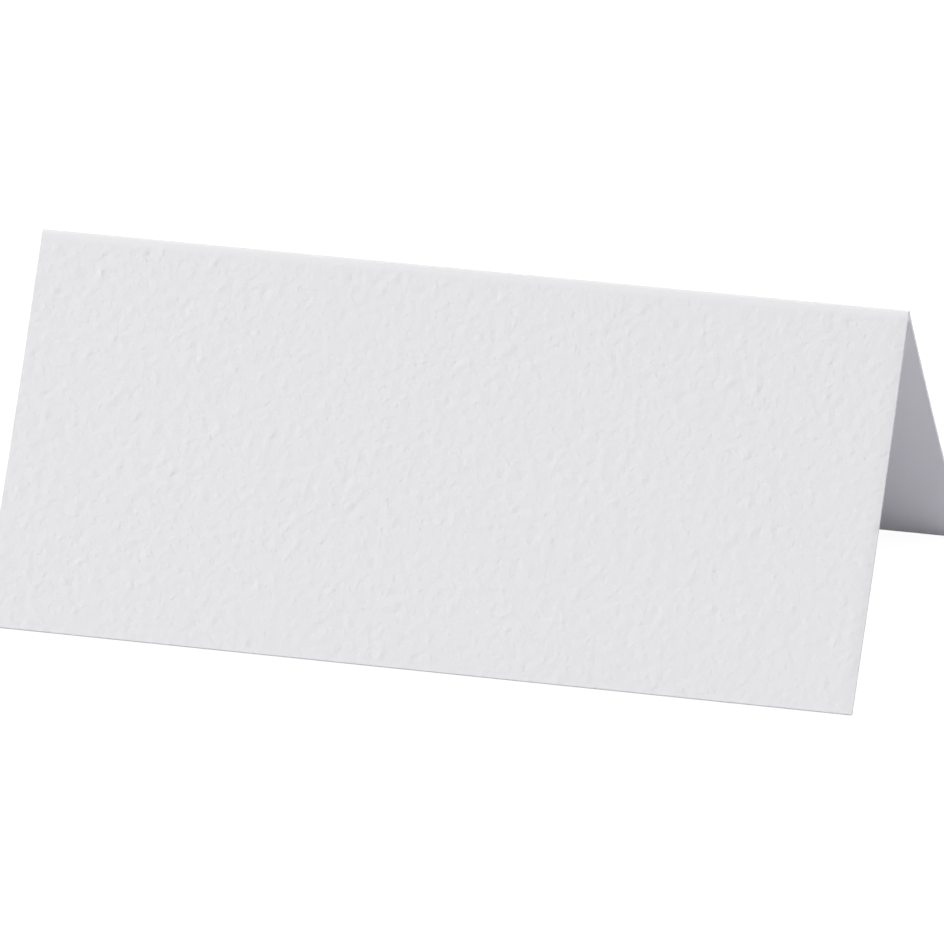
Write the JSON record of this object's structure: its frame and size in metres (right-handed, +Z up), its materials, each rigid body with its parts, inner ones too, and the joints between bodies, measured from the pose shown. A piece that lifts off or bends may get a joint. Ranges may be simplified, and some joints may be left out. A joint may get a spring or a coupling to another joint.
{
  "type": "place card",
  "caption": "Blank place card: textured white card stock, scored and folded into a tent that stands on its cut edges and faces the table's guests.",
  "frame": {"origin": "on the table, under the middle of the fold", "axes": "+X along the fold, front leaf towards -Y, back leaf towards +Y, +Z up"},
  "size_m": [0.09, 0.0466, 0.034],
  "materials": {
    "card_stock": "matt white card stock, hammered on its outer faces and smooth inside"
  },
  "bodies": {
    "root": {"folded_card": "card_stock"}
  },
  "joints": []
}
